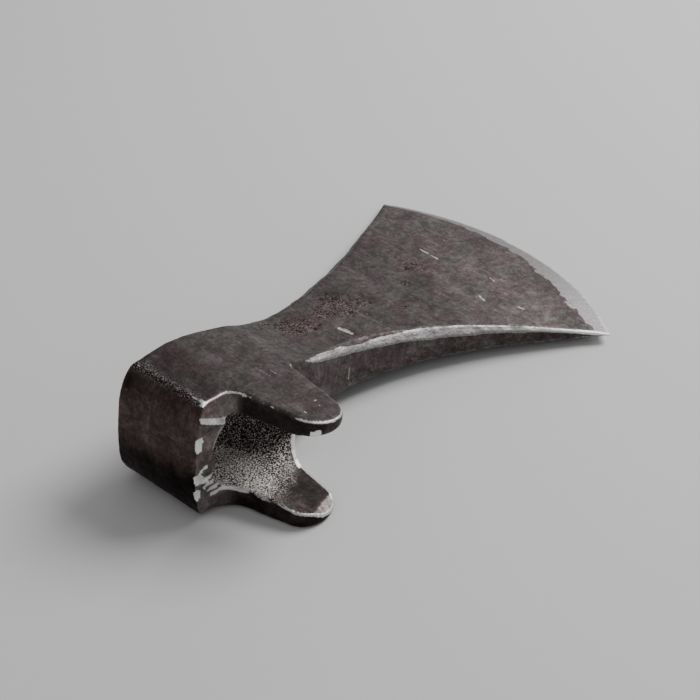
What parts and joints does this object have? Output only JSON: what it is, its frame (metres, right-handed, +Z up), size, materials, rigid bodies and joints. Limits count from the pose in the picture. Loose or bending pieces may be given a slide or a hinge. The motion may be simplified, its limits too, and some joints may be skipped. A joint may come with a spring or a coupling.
{
  "type": "axe head",
  "caption": "Loose forged iron axe head lying on its cheek: crowned square poll, oval eye with two rounded ears, narrow chamfered neck and wide curved blade.",
  "frame": {"origin": "on the ground, under the middle of the head's bounding box", "axes": "+X from the poll towards the cutting edge, +Y away from the ears towards the far mouth of the eye, +Z up through the upper cheek"},
  "size_m": [0.2056, 0.1262, 0.0474],
  "materials": {
    "forged_iron": "dark brown-black patinated forged iron, bare and bright on worn edges and on the cutting bevel"
  },
  "bodies": {
    "root": {"axe_head": "forged_iron"}
  },
  "joints": []
}
